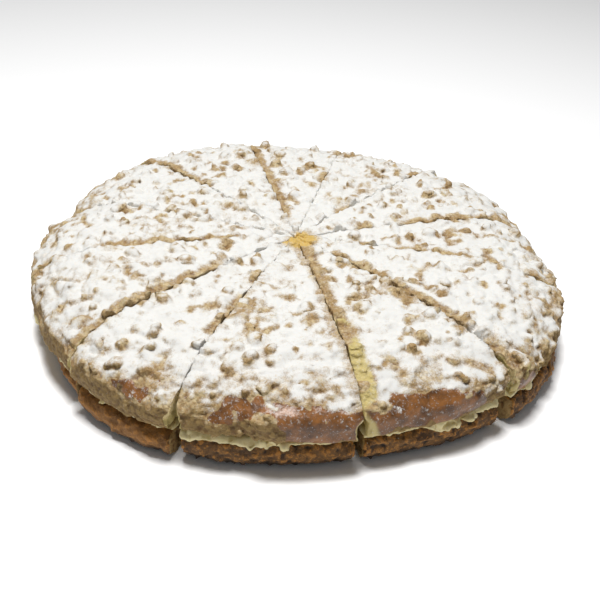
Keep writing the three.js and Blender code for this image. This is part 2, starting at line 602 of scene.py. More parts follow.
class Scatter(Nodes):
    """A node tree that presses crumbs of random size and turn into a surface."""

    SIZES = {
        "Spacing": "NodeSocketFloat",
        "Crowd": "NodeSocketFloat",
        "Smallest": "NodeSocketFloat",
        "Largest": "NodeSocketFloat",
        "Knobbliness": "NodeSocketFloat",
        "Seed": "NodeSocketInt",
        "Material": "NodeSocketMaterial",
    }
    FLATTEST = 0.7
    LONGEST = 1.25

    def __init__(self, name: str, where: str) -> None:
        """Builds the tree.

        Args:
            name: Name of the tree.
            where: Name of the stored number that says where crumbs lie.
        """
        super().__init__(bpy.data.node_groups.new(name, "GeometryNodeTree"))
        ends = self.tree.interface
        ends.new_socket("Geometry", in_out="INPUT", socket_type="NodeSocketGeometry")
        for size, kind in self.SIZES.items():
            ends.new_socket(size, in_out="INPUT", socket_type=kind)
        ends.new_socket("Geometry", in_out="OUTPUT", socket_type="NodeSocketGeometry")
        given = self.add("NodeGroupInput").outputs
        chance = self.add("GeometryNodeInputNamedAttribute", {"data_type": "FLOAT"}, {"Name": where})
        sockets = {
            "Mesh": given["Geometry"],
            "Distance Min": given["Spacing"],
            "Density Max": given["Crowd"],
            "Density Factor": chance.outputs["Attribute"],
            "Seed": given["Seed"],
        }
        points = self.add("GeometryNodeDistributePointsOnFaces", {"distribute_method": "POISSON"}, sockets)
        crumb = self.crumb(given["Knobbliness"])
        turn = self.random("FLOAT_VECTOR", (0.0,) * 3, (math.tau,) * 3, given["Seed"])
        squash = self.random("FLOAT_VECTOR", (self.FLATTEST,) * 3, (self.LONGEST,) * 3, given["Seed"])
        size = self.random("FLOAT", given["Smallest"], given["Largest"], given["Seed"])
        scale = self.scaled(squash, size)
        sockets = {"Points": points.outputs["Points"], "Instance": crumb, "Rotation": turn, "Scale": scale}
        laid = self.add("GeometryNodeInstanceOnPoints", {}, sockets)
        real = self.add("GeometryNodeRealizeInstances", {}, {"Geometry": laid.outputs[0]})
        joined = self.add("GeometryNodeJoinGeometry", {}, {0: given["Geometry"]})
        self.tree.links.new(real.outputs[0], joined.inputs[0])
        sockets = {"Geometry": joined.outputs[0], "Material": given["Material"]}
        dressed = self.add("GeometryNodeSetMaterial", {}, sockets)
        self.add("NodeGroupOutput", {}, {"Geometry": dressed.outputs[0]})

    def scaled(self, vector: bpy.types.NodeSocket, size: bpy.types.NodeSocket) -> bpy.types.NodeSocket:
        """Adds a vector's product with a number."""
        node = self.add("ShaderNodeVectorMath", {"operation": "SCALE"}, {"Vector": vector, "Scale": size})
        return node.outputs[0]

    def random(
        self, kind: str, low: object, high: object, seed: bpy.types.NodeSocket
    ) -> bpy.types.NodeSocket:
        """Adds a random number or vector.

        Args:
            kind: The node's name for a number or a vector.
            low: The lower limit.
            high: The upper limit.
            seed: The seed's socket.

        Returns:
            The socket of the number or vector.
        """
        node = self.add("FunctionNodeRandomValue", {"data_type": kind}, {"Seed": seed})
        limits = [s for s in node.inputs if s.enabled and s.name in ("Min", "Max")]
        for socket, given in zip(limits, (low, high)):
            self.feed(socket, given)
        return next(s for s in node.outputs if s.enabled)

    def crumb(self, knobbliness: bpy.types.NodeSocket) -> bpy.types.NodeSocket:
        """Adds one crumb of unit size.

        Args:
            knobbliness: The socket of how far its knobs stand out.

        Returns:
            The crumb's socket.
        """
        ball = self.add("GeometryNodeMeshIcoSphere", {}, {"Radius": 1.0, "Subdivisions": 3}).outputs[0]
        place = self.add("GeometryNodeInputPosition").outputs[0]
        knobs = self.add("ShaderNodeTexNoise", {}, {"Vector": place, "Scale": 1.6, "Detail": 2.0})
        height = self.add("ShaderNodeMath", {"operation": "SUBTRACT"}, {0: knobs.outputs["Fac"], 1: 0.5})
        push = self.add("ShaderNodeMath", {"operation": "MULTIPLY"}, {0: height.outputs[0], 1: knobbliness})
        offset = self.scaled(place, push.outputs[0])
        return self.add("GeometryNodeSetPosition", {}, {"Geometry": ball, "Offset": offset}).outputs[0]

    def press(self, piece: bpy.types.Object, crumbs: Crumbs, seed: int, finish: bpy.types.Material) -> None:
        """Scatters crumbs on a piece and makes the result its plain mesh.

        Args:
            piece: The object to cover.
            crumbs: The kind of crumb.
            seed: Picks one of many scatterings.
            finish: The finish of the piece and its crumbs.
        """
        sizes = {name.capitalize(): size for name, size in asdict(crumbs).items()}
        sizes.update(Seed=seed, Material=finish)
        modifier = piece.modifiers.new(self.tree.name, "NODES")
        modifier.node_group = self.tree
        for item in self.tree.interface.items_tree:
            if item.in_out == "INPUT" and item.name in sizes:
                modifier[item.identifier] = sizes[item.name]
        settle(piece)


def settle(piece: bpy.types.Object) -> None:
    """Makes a piece's evaluated shape its plain mesh and removes its modifiers.

    Args:
        piece: The object to settle.
    """
    bpy.context.view_layer.update()
    shaped = piece.evaluated_get(bpy.context.evaluated_depsgraph_get())
    mesh = bpy.data.meshes.new_from_object(shaped)
    old = piece.data
    piece.modifiers.clear()
    piece.data = mesh
    bpy.data.meshes.remove(old)


def knit(piece: bpy.types.Object, voxel: float) -> None:
    """Grows everything in a piece together into one closed skin.

    Args:
        piece: The object to knit.
        voxel: Width of the skin's facets.
    """
    modifier = piece.modifiers.new("One skin", "REMESH")
    modifier.mode = "VOXEL"
    modifier.voxel_size = voxel
    modifier.use_smooth_shade = True
    settle(piece)


# ---------------------------------------------------------------- the pastry's plan


class Layer(Enum):
    """The layers of a slice, in the order in which a slice's slides are listed."""

    BASE = 0
    CREAM = 1
    TOP = 2


@dataclass(frozen=True)
class Outline:
    """The uneven outline of the hand-shaped round.

    Lobes are waves all round it: a share of the radius, a count, and the direction of one. Swellings are
    single places where the rim swells or is dented: a share, a direction and a half width. Angles are in
    degrees. The dent in the base comes on top of them.
    """

    radius: float = 140 * MM
    lobes: tuple = ((0.010, 2, -42), (0.014, 3, -11), (0.012, 4, -41), (0.010, 5, -31))
    swellings: tuple = ((0.018, 142, 10), (-0.028, 167, 4), (0.018, 36, 6))
    base_dent: tuple = (-0.03, 207, 15)

    def swelling(self, place: tuple[float, float, float], angle: float) -> float:
        """Gives what one swelling adds in one direction, as a share of the radius.

        Args:
            place: The swelling's share, direction and half width.
            angle: The direction, in radians.

        Returns:
            A share of the radius, below 0 for a dent.
        """
        share, at, width = place
        turn = math.sin((angle - math.radians(at)) / 2) / math.sin(math.radians(width) / 2)
        return share * math.exp(-turn * turn)

    def reach(self, angle: float) -> float:
        """Gives the distance from the middle to the rim.

        Args:
            angle: The direction, in radians.

        Returns:
            The distance there.
        """
        waves = (share * math.cos(count * (angle - math.radians(at))) for share, count, at in self.lobes)
        places = (self.swelling(place, angle) for place in self.swellings)
        return self.radius * (1 + sum(waves) + sum(places))


@dataclass(frozen=True)
class Cut:
    """One stroke of the knife from the middle to the rim, and where its upper edges crumbled open.

    The stretches that crumbled are shares of the radius. Wear is how much of the edges fell off there,
    against 1 for a usual cut. Gape is how far the lumps on either side stay apart there, from 0, where they
    touch, to 1, where the whole kerf stays open.
    """

    angle: float
    opening: float
    stretches: tuple[tuple[float, float], ...]
    wear: float = 1.0
    gape: float = 0.15
    kerf: float = 0.9 * MM

    def half_gap(self, radius: np.ndarray) -> np.ndarray:
        """Distance from either face to the middle of the cut."""
        return self.kerf / 2 + radius * math.sin(self.opening / 2)

    def crumbled(self, share: np.ndarray) -> np.ndarray:
        """Says how far the cut stands open.

        Args:
            share: Distances from the middle, as shares of the radius.

        Returns:
            From 0, where sugar bridges it, to 1, where its edges have crumbled.
        """
        amount = np.zeros(len(share))
        for start, end in self.stretches:
            middle, half = (start + end) / 2, (end - start) / 2
            amount = np.maximum(amount, smooth(half + 0.05, half - 0.03, np.abs(share - middle)))
        return amount


@dataclass(frozen=True)
class Slice:
    """Where one slice lies, and how it sits in its layers."""

    number: int
    before: Cut
    after: Cut
    cream: float
    slides: tuple[float, float, float]
    outline: Outline = Outline()
    base_height: float = 14 * MM
    gap: float = 0.3 * MM

    @property
    def start(self) -> float:
        """Direction of the slice's first face."""
        return self.before.angle + self.before.opening / 2

    @property
    def end(self) -> float:
        """Direction of the slice's second face."""
        return self.after.angle - self.after.opening / 2

    @property
    def middle(self) -> float:
        """Direction of the slice's middle."""
        return (self.start + self.end) / 2

    @property
    def apex(self) -> np.ndarray:
        """Where the two cut faces would meet."""
        offset = self.after.kerf / 2 / math.sin((self.end - self.start) / 2)
        return offset * ray(self.middle)

    def slide(self, layer: Layer) -> np.ndarray:
        """How far one layer of the slice slid outwards."""
        return self.slides[layer.value] * ray(self.middle)

    def level(self, layer: Layer) -> float:
        """Height of one layer's underside."""
        lift = {Layer.BASE: 0.0, Layer.CREAM: self.base_height + self.gap}
        return lift.get(layer, self.base_height + self.cream + 2 * self.gap)

    def reach(self, angle: float) -> float:
        """Distance from the apex to the rim in one direction."""
        return self.outline.reach(angle) - float(np.linalg.norm(self.apex)) * math.cos(angle - self.middle)

    def faces(self) -> list[tuple[np.ndarray, float, Cut]]:
        """Gives the two cut faces, before any slide.

        Returns:
            For each, its outward direction, its distance from the middle, and its cut.
        """
        one = np.array([math.sin(self.start), -math.cos(self.start)])
        two = np.array([-math.sin(self.end), math.cos(self.end)])
        return [(one, float(one @ self.apex), self.before), (two, float(two @ self.apex), self.after)]


@dataclass(frozen=True)
class CutPlan:
    """How the round was cut.

    Each cut has its direction and opening in degrees, the stretches that crumbled open, as shares of the
    radius, and its wear and gape where they aren't the usual ones. Each slice has the thickness of its cream
    and the slides of its base, cream and top, in millimetres.
    """

    cuts: tuple = (
        (-75.7, 1.1, ((0.1, 1.2),), 1.7, 0.0),
        (-44.3, 2.0, ((0.2, 0.8), (0.9, 1.2)), 1.2, 0.35),
        (-11.5, 0.6, ((0.22, 0.28), (0.36, 0.76), (0.88, 1.2))),
        (16, 0.8, ((0.24, 0.3), (0.44, 1.2))),
        (49, 0.2, ((0.24, 0.3), (0.72, 0.8))),
        (77.5, 0.8, ((0.45, 0.56), (0.76, 1.2))),
        (106, 1.4, ((0.14, 1.2),)),
        (136.5, 0.9, ((0.5, 1.2),)),
        (166, 0.2, ((0.42, 0.52), (0.86, 1.2))),
        (194, 0.7, ((0.16, 0.72), (0.88, 1.2))),
        (225.5, 1.4, ((0.38, 1.2),)),
        (250.5, 0.9, ((0.3, 0.36), (0.46, 0.7), (0.97, 1.2))),
    )
    slices: tuple = (
        (4.2, (0.0, 0.4, 0.0)),
        (4.0, (2.4, 0.8, 0.0)),
        (3.4, (0.0, 0.0, 0.6)),
        (3.8, (0.4, 0.2, 0.0)),
        (4.0, (0.0, 0.0, 0.5)),
        (3.6, (0.4, 0.0, 0.0)),
        (4.2, (0.0, 0.0, 0.6)),
        (3.8, (0.3, 0.0, 0.0)),
        (3.6, (0.0, 0.2, 0.0)),
        (4.0, (0.2, 0.2, 0.0)),
        (3.4, (2.6, 0.6, 2.0)),
        (4.4, (0.0, 1.6, 1.8)),
    )

    def lay_out(self) -> list[Slice]:
        """Gives every slice its place.

        Returns:
            The slices, anticlockwise from the first cut.
        """
        cuts = [Cut(math.radians(at), math.radians(opening), *rest) for at, opening, *rest in self.cuts]
        cuts.append(replace(cuts[0], angle=cuts[0].angle + math.tau))
        laid = []
        for number, (cream, slides) in enumerate(self.slices, 1):
            before, after = cuts[number - 1 : number + 1]
            laid.append(Slice(number, before, after, cream * MM, tuple(s * MM for s in slides)))
        return laid

    def centring(self) -> np.ndarray:
        """Works out the move that brings the middle of the whole outline to the origin.

        Returns:
            The move along x and y.
        """
        rims = []
        for wedge, step in itertools.product(self.lay_out(), np.linspace(0, 1, 25)):
            angle = wedge.start + (wedge.end - wedge.start) * step
            for layer, inset in ((Layer.BASE, 1 * MM), (Layer.TOP, 0.0)):
                rims.append(wedge.apex + ray(angle) * (wedge.reach(angle) - inset) + wedge.slide(layer))
        rims = np.array(rims)
        return -(rims.min(0) + rims.max(0)) / 2


# Where cream squeezes out past the rim: from and to in degrees, and how strongly.
OOZES = (
    (251, 267, 1.0),
    (267, 284, 0.4),
    (-76, -62, 0.25),
    (-62, -44, 0.9),
    (-42, -35, 1.1),
    (62, 76, 0.7),
    (118, 130, 0.6),
)
QUIET_OOZE = 0.1


def around(angle: np.ndarray, start: float, end: float, blend: float = 2.0) -> np.ndarray:
    """Says which directions lie between two others.

    Args:
        angle: Directions, in radians.
        start: First direction, in degrees.
        end: Last direction, in degrees.
        blend: Half the width of the soft border, in degrees.

    Returns:
        A share from 0, outside, to 1, inside.
    """
    middle, half = (start + end) / 2, (end - start) / 2
    away = np.abs((np.degrees(angle) - middle + 180) % 360 - 180)
    return smooth(half + blend, half - blend, away)


def ooze(angle: np.ndarray) -> np.ndarray:
    """Says how strongly the cream squeezes out.

    Args:
        angle: Directions, in radians.

    Returns:
        A share for each, about 1 where it squeezes out most.
    """
    amount = np.full(np.shape(angle), QUIET_OOZE)
    for start, end, strength in OOZES:
        amount = np.maximum(amount, strength * around(angle, start, end, 2.5))
    return amount


# ---------------------------------------------------------------- the layers


@dataclass
class LayerPiece:
    """What the three layers of a slice share: their wedge, their cut faces and their place.

    The stops are how far short of the rim the even points of the underside and of the upper side end.
    """

    wedge: Slice
    shift: np.ndarray
    finish: bpy.types.Material
    scatter: Scatter
    layer: Layer = Layer.BASE
    node: str = "base_slice"
    slot: str = "sponge_base"
    voxel: float = 1.0 * MM
    tip: float = 1.0 * MM
    spacing: float = 3.5 * MM
    stops: tuple[float, float] = (12 * MM, 12 * MM)
    fewest_columns: int = 8
    rim_steps: int = 721

    @property
    def seed(self) -> int:
        """A number of the piece's own, for whatever is random in it."""
        return 100 * self.layer.value + 7 * self.wedge.number

    @property
    def name(self) -> str:
        """Name of the node that the piece stands for."""
        return f"{self.node}_{self.wedge.number:02d}"

    @property
    def level(self) -> float:
        """Height of the layer's underside."""
        return self.wedge.level(self.layer)

    def section(self, angle: float, reach: float) -> list[tuple[float, float]]:
        """Gives the closed outline of the layer in one direction, as distances and heights.

        Args:
            angle: The direction.
            reach: Distance to the rim there.

        Returns:
            Points from the tip along the underside, up the rim and back along the top.
        """
        raise NotImplementedError

    def inward(self, reach: float, height: float, stop: float) -> list[tuple[float, float]]:
        """Gives evenly spaced points at one height, from the tip out to stop short of the rim."""
        count = round((self.wedge.outline.radius - stop - self.tip) / self.spacing)
        return [(float(r), height) for r in np.linspace(self.tip, reach - stop, count)]

    def blank(self) -> bpy.types.Object:
        """Makes the plain wedge that crumbs and lumps are added to, before any slide.

        Returns:
            The wedge, in the scene.
        """
        wedge = self.wedge
        width = (wedge.end - wedge.start) * wedge.outline.radius
        columns = max(self.fewest_columns, round(width / self.spacing))
        points, faces, rows = [], [], 0
        for angle in np.linspace(wedge.start, wedge.end, columns + 1):
            loop = self.section(angle, wedge.reach(angle))
            rows = len(loop)
            points += [(*(wedge.apex + ray(angle) * r), z + self.level) for r, z in loop]
        for column, row in itertools.product(range(columns), range(rows)):
            after = (row + 1) % rows
            here, there = column * rows, (column + 1) * rows
            faces.append((here + row, here + after, there + after, there + row))
        faces.append(tuple(reversed(range(rows))))
        faces.append(tuple(columns * rows + row for row in range(rows)))
        mesh = make_mesh(self.name, np.array(points), faces)
        piece = bpy.data.objects.new(f"{self.name}_look", mesh)
        bpy.context.scene.collection.objects.link(piece)
        return piece

    def inside(self, points: np.ndarray) -> list[np.ndarray]:
        """Gives how deep each point lies behind each of the two cut faces."""
        return [distance - points[:, :2] @ normal for normal, distance, _ in self.wedge.faces()]

    def polar(self, points: np.ndarray) -> tuple[np.ndarray, np.ndarray]:
        """Gives each point's place against the rim.

        Args:
            points: The points, before any slide.

        Returns:
            Their directions, in radians, and how far they stand out past the rim there.
        """
        turns = np.linspace(-math.pi, math.pi, self.rim_steps)
        rim = [self.wedge.outline.reach(turn) for turn in turns]
        angle = np.arctan2(points[:, 1], points[:, 0])
        return angle, span(points) - np.interp(angle, turns, rim)

    def bridge(self, points: np.ndarray, cut: Cut) -> np.ndarray:
        """Says how far past its face the piece may lean into a cut."""
        return np.zeros(len(points))

    def trim(self, points: np.ndarray, low: float, high: float, out: float) -> np.ndarray:
        """Cuts the piece as the knife, the board and the layers around it do.

        Args:
            points: The points to trim, before any slide.
            low: Lowest height that is kept.
            high: Greatest height that is kept.
            out: How far past the rim a point may stand.

        Returns:
            The trimmed points.
        """
        kept = points.copy()
        for normal, distance, cut in self.wedge.faces():
            beyond = np.maximum(kept[:, :2] @ normal - distance - self.bridge(kept, cut), 0)
            kept[:, :2] -= beyond[:, None] * normal
        _, past = self.polar(kept)
        length = np.maximum(span(kept), NEXT_TO_NOTHING)
        kept[:, :2] *= (1 - np.maximum(past - out, 0) / length)[:, None]
        kept[:, 2] = np.clip(kept[:, 2], low, high)
        return kept

    def cover(self, piece: bpy.types.Object) -> None:
        """Adds what lies on the blank."""
        raise NotImplementedError

    def sculpt(self, surface: Surface) -> None:
        """Shapes the knitted skin and stores what the finish reads."""
        raise NotImplementedError

    def limits(self) -> tuple[float, float, float]:
        """Gives the lowest height, the greatest height, and the reach past the rim."""
        raise NotImplementedError

    def build(self) -> bpy.types.Object:
        """Builds and dresses the piece.

        Returns:
            The finished object, in place of its node.
        """
        piece = self.blank()
        self.cover(piece)
        rough = Surface(piece.data)
        rough.points = self.trim(rough.points, *self.limits())
        rough.write()
        knit(piece, self.voxel)
        surface = Surface(piece.data)
        self.sculpt(surface)
        surface.points = self.trim(surface.points, *self.limits())
        surface.points[:, :2] += self.shift + self.wedge.slide(self.layer)
        surface.write()
        piece.data.name = self.name
        piece.data.materials.clear()
        piece.data.materials.append(self.finish)
        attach(piece, "root")
        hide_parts(self.name)
        LOG.info("%s: %d faces", self.name, len(piece.data.polygons))
        return piece


@dataclass
class SpongeBase(LayerPiece):
    """The lower layer: porous dough with a browned, rounded and frayed rim.

    The rim's points are millimetres out from the outline and up from the board. The pale part of the rim has
    its two directions, in degrees.
    """

    layer: Layer = Layer.BASE
    node: str = "base_slice"
    slot: str = "sponge_base"
    voxel: float = 1.0 * MM
    stops: tuple[float, float] = (14 * MM, 12 * MM)
    height: float = 14 * MM
    rim: tuple = ((-11, 0), (-8, 0.6), (-5, 2.6), (-3.4, 5.4), (-2.8, 8.4), (-3.4, 11), (-5, 13), (-8, 13.8))
    pale: tuple = (196, 250)
    inset: float = 1.4 * MM
    bits: Crumbs = Crumbs(1.9 * MM, 90000.0, 0.6 * MM, 1.5 * MM, 1.8)
    torn: Patches = Patches(-0.2, 0.4, 11 * MM, 1)
    pores: Patches = Patches(0.18, 0.5, 2.6 * MM)
    pore_depth: float = 0.9 * MM
    grain: Lumps = Lumps(1.0 * MM, 6 * MM, 3, 3)
    fine_grain: Lumps = Lumps(0.35 * MM, 1.7 * MM, 9)
    dusting: Patches = Patches(0.0, 0.5, 6 * MM, 12)

    def section(self, angle: float, reach: float) -> list[tuple[float, float]]:
        """Gives the closed outline of the base in one direction.

        Args:
            angle: The direction.
            reach: Distance to the rim there.

        Returns:
            Points round the outline, from the tip along the underside.
        """
        outline = self.wedge.outline
        reach += outline.radius * outline.swelling(outline.base_dent, angle)
        under = self.inward(reach, 0.0, self.stops[0])
        side = [(reach + out * MM, z * MM) for out, z in self.rim]
        over = self.inward(reach, self.height - 0.2 * MM, self.stops[1])[::-1]
        return under + side + over

    def limits(self) -> tuple[float, float, float]:
        """Between the board and the cream, with frayed bits almost up to the rim."""
        return 0.0, self.height, -self.inset

    def cover(self, piece: bpy.types.Object) -> None:
        """Adds frayed bits along the rim, more at its lower and upper edges.

        Args:
            piece: The blank.
        """
        surface = Surface(piece.data)
        _, past = self.polar(surface.points)
        height = surface.points[:, 2]
        edges = np.maximum(smooth(5 * MM, 1.5 * MM, height), smooth(9 * MM, 12 * MM, height))
        frayed = 0.3 + 0.7 * edges * self.torn.at(surface.points, self.seed)
        surface.keep("crumbs", smooth(-9 * MM, -5 * MM, past) * frayed)
        self.scatter.press(piece, self.bits, self.seed, self.finish)

    def sculpt(self, surface: Surface) -> None:
        """Opens pores in the dough and marks its cut faces and hollows.

        Args:
            surface: The knitted skin.
        """
        points, normals, seed = surface.points, surface.normals(), self.seed
        angle, past = self.polar(points)
        height = points[:, 2]
        cut = smooth(1.4 * MM, 0.3 * MM, np.minimum(*self.inside(points)))
        flat = smooth(0.9, 0.98, -normals[:, 2]) * smooth(1 * MM, 0.3 * MM, height)
        pores = self.pore_depth * self.pores.at(points, seed)
        grain = self.grain.at(points * (1, 1, 1.9), seed) + self.fine_grain.at(points, seed)
        depth = np.where(cut > 0.5, pores + np.abs(grain), 0.6 * pores - 0.7 * grain)
        surface.points = points - normals * (depth * (1 - flat))[:, None]
        surface.keep("hollow", surface.hollows(0.5 * MM))
        surface.keep("cut", cut * smooth(-2.5 * MM, -5 * MM, past))
        # How near the bottom of the base each point lies, where the finish turns darker.
        surface.keep("low", smooth(9 * MM, 1 * MM, height))
        surface.keep("pale", around(angle, *self.pale, 4) * smooth(1 * MM, 5 * MM, height))
        dusted = self.dusting.at(surface.points, seed) * smooth(0.3, 0.9, surface.normals()[:, 2])
        surface.keep("sugar", 0.5 * dusted * smooth(-9 * MM, -3 * MM, past))


@dataclass
class CreamBed(LayerPiece):
    """The filling: a soft bed that squeezes out past the rim here and there.

    The rim's points are millimetres out from the outline, and shares of the thickness.
    """

    layer: Layer = Layer.CREAM
    node: str = "cream_slice"
    slot: str = "cream"
    voxel: float = 0.8 * MM
    rim: tuple = ((-8.5, 0), (-5.2, 0.25), (-3.6, 0.5), (-5.2, 0.75), (-8.5, 1))
    dollops: Crumbs = Crumbs(2.0 * MM, 90000.0, 1.0 * MM, 3.2 * MM, 1.7)
    squeezed: Lumps = Lumps(1.0, 9 * MM)
    swell: tuple[Lumps, ...] = (Lumps(1.1 * MM, 4.5 * MM, 2, 3), Lumps(0.45 * MM, 1.8 * MM, 4))
    drips: Lumps = Lumps(0.5, 7 * MM, 5)
    longest_drip: float = 3.0 * MM

    def section(self, angle: float, reach: float) -> list[tuple[float, float]]:
        """Gives the closed outline of the cream in one direction.

        Args:
            angle: The direction; not used.
            reach: Distance to the rim there.

        Returns:
            Points round the outline, from the tip along the underside.
        """
        under = self.inward(reach, 0.0, self.stops[0])
        side = [(reach + out * MM, share * self.wedge.cream) for out, share in self.rim]
        over = self.inward(reach, self.wedge.cream, self.stops[1])[::-1]
        return under + side + over

    def limits(self) -> tuple[float, float, float]:
        """From partly down the base's rim to partly up the top's."""
        return self.level - 6 * MM, self.level + self.wedge.cream + 2.5 * MM, 0.3 * MM

    def cover(self, piece: bpy.types.Object) -> None:
        """Adds dollops where the cream squeezes out.

        Args:
            piece: The blank.
        """
        surface = Surface(piece.data)
        angle, past = self.polar(surface.points)
        strength = self.squeezed.at(surface.points, self.seed) + ooze(angle) - 0.6
        surface.keep("crumbs", smooth(-8.7 * MM, -4.5 * MM, past) * smooth(-0.35, 0.45, strength))
        self.scatter.press(piece, self.dollops, self.seed, self.finish)

    def sculpt(self, surface: Surface) -> None:
        """Rounds the dollops, lets them sag over the base, and keeps the bed between its neighbours.

        Args:
            surface: The knitted skin.
        """
        surface.points = surface.blurred(surface.points, 1)
        points, normals = surface.points, surface.normals()
        angle, past = self.polar(points)
        free = smooth(-6.5 * MM, -3.5 * MM, past)
        swell = pile(self.swell, points, self.seed) * (0.25 + 0.75 * free)
        points = points + normals * swell[:, None]
        sag = free * ooze(angle) * (0.5 + self.drips.at(points, self.seed))
        points[:, 2] -= self.longest_drip * np.maximum(sag, 0)
        held = np.clip(points[:, 2], self.level - 0.2 * MM, self.wedge.level(Layer.TOP) - 0.1 * MM)
        points[:, 2] = held + (points[:, 2] - held) * free
        surface.points = points
        surface.keep("hollow", surface.hollows(0.6 * MM))


@dataclass
class StreuselTop(LayerPiece):
    """The upper layer: dough with a brown rim, a bed of streusel crumbs, and powdered sugar on it.

    The rim's points are millimetres out from the outline and up from the cream. Each stretch of bare crust
    has its two directions in degrees and its two heights in millimetres. The cluster of crumbs that stayed
    on it has its two directions and its height. Plain dough shows low on the rim between two directions. The
    pool is a sunken place near the middle, where custard shows. The rim hangs over the cream out from and up
    to the two places of hang, in millimetres, and least where much cream holds it up.
    """

    layer: Layer = Layer.TOP
    node: str = "top_slice"
    slot: str = "streusel_top"
    voxel: float = 0.85 * MM
    stops: tuple[float, float] = (9 * MM, 31 * MM)
    height: float = 27 * MM
    dome_shape: tuple[float, float, float] = (0.92, 0.3, -0.3)
    crumb_room: float = 2.0 * MM
    sag: float = 3.2 * MM
    held_up: float = 1.6
    hang: tuple[float, float] = (-5, 11)
    rim: tuple = (
        (-6, 0),
        (-2.4, 0.4),
        (-0.5, 2.6),
        (0, 5.5),
        (-0.3, 8.5),
        (-1.4, 10.9),
        (-3.4, 13.4),
        (-6.6, 15.9),
        (-11, 18.3),
        (-17, 20.7),
        (-24, 22.6),
    )
    crusts: tuple = (
        (258, 265, 9, 19),
        (264, 277, 0, 18),
        (276, 286, 0, 12),
        (-75, -51, 2, 14),
        (238, 244.5, 11, 17),
        (-43, -38, 3, 10),
    )
    low_crust: float = 5
    cluster: tuple = (261, 270.5, 11)
    plain: tuple = (188, 259)
    pool: tuple = (3.5 * MM, -4 * MM)

    # What is pressed into it, and the lumps and patches of its bed.
    clumps: Crumbs = Crumbs(8 * MM, 9000.0, 1.6 * MM, 3.2 * MM, 1.4)
    singles: Crumbs = Crumbs(3.0 * MM, 80000.0, 0.8 * MM, 1.7 * MM, 1.4)
    swells: Lumps = Lumps(2.6 * MM, 24 * MM, 6, 3)
    bulges: Lumps = Lumps(2.4 * MM, 15 * MM, 8)
    billow: Lumps = Lumps(2.8 * MM, 7.5 * MM, 51)
    fine_billow: Lumps = Lumps(1.3 * MM, 3.4 * MM, 52)
    pits: tuple[Patches, ...] = (Patches(0.36, 0.56, 9 * MM, 23), Patches(0.45, 0.65, 4.5 * MM, 24))
    grain: tuple[Lumps, ...] = (Lumps(0.5 * MM, 2.1 * MM, 11), Lumps(0.3 * MM, 1.2 * MM, 12))
    blisters: Lumps = Lumps(0.5 * MM, 7 * MM, 18, 2)
    crust_border: tuple[Lumps, ...] = (Lumps(5.0, 10 * MM, 1), Lumps(2.6, 3.5 * MM, 4))
    pit_depth: float = 1.8 * MM
    pool_depth: float = 9 * MM
    pool_border: Lumps = Lumps(2 * MM, 5 * MM, 17)

    # How its cut faces meet, wear and crumble.
    wear: Lumps = Lumps(0.6, 12 * MM, 7)
    worn_depth: float = 4.8 * MM
    rounding: float = 2.4 * MM
    raggedness: Lumps = Lumps(0.03, 9 * MM, 31)
    slack: float = 0.03 * MM
    stick: float = 0.25 * MM
    lean: float = 0.9 * MM
    tip_pull: float = 1.6 * MM
    bites: Lumps = Lumps(1.2 * MM, 4.5 * MM, 13, 3)
    nibbles: Patches = Patches(0.2, 0.5, 1.9 * MM, 14)
    smear_top: Lumps = Lumps(4 * MM, 6 * MM, 15)
    smears: Patches = Patches(-0.5, 0.4, 8 * MM, 41)

    # How the sugar lies. The wide drift goes on from slice to slice. More was shaken off on one side, which
    # is in radians.
    sugar_depth: float = 0.3 * MM
    sugar_waves: Lumps = Lumps(0.2 * MM, 2.6 * MM)
    drifts: tuple[Lumps, ...] = (Lumps(0.2, 12 * MM, 21), Lumps(0.26, 4.5 * MM, 22, 2))
    wide_drift: Lumps = Lumps(0.2, 30 * MM, 77)
    shelter: Lumps = Lumps(0.2, 3 * MM, 27)
    rim_border: Lumps = Lumps(3.5 * MM, 7 * MM, 32)
    shaken: Patches = Patches(-0.1, 0.4, 5 * MM, 28)
    shaken_side: float = -0.9
    spill_border: tuple[Lumps, ...] = (Lumps(1.9 * MM, 7.5 * MM, 25), Lumps(0.8 * MM, 2.5 * MM, 29))
    flecks: Patches = Patches(0.25, 0.6, 2.2 * MM, 26)
    flecked: Patches = Patches(-0.3, 0.4, 9 * MM, 30)

    def crust_at(self, points: np.ndarray) -> np.ndarray:
        """Says where the rim is bare, brown crust.

        Args:
            points: The points, before any slide.

        Returns:
            A share from 0, streusel, to 1, crust.
        """
        angle, past = self.polar(points)
        ragged = pile(self.crust_border, points, self.seed)
        along = (points[:, 2] - self.level - 0.35 * np.minimum(past + 2 * MM, 0)) / MM + ragged
        amount = np.zeros(len(points))
        for start, end, low, high in self.crusts:
            there = around(angle + 0.012 * ragged, start, end, 1.2)
            between = smooth(high + 1.0, high - 1.0, along) * smooth(low - 3, low, along)
            amount = np.maximum(amount, there * between)
        start, end, high = self.cluster
        stayed = around(angle, start, end, 1.5) * smooth(high + 1, high - 1, along + 0.3 * ragged)
        return amount * (1 - stayed)

    def sagged(self, angle: np.ndarray) -> np.ndarray:
        """Says how far the rim hangs down over the cream, which pushes it up where it squeezes out."""
        return self.sag * np.clip(1 - self.held_up * ooze(angle), 0, 1)

    def dome(self, radius: float) -> float:
        """Height of the bed: greatest halfway out, sunk at the middle."""
        out = radius / self.wedge.outline.radius
        return self.height * sum(share * out**power for power, share in enumerate(self.dome_shape))

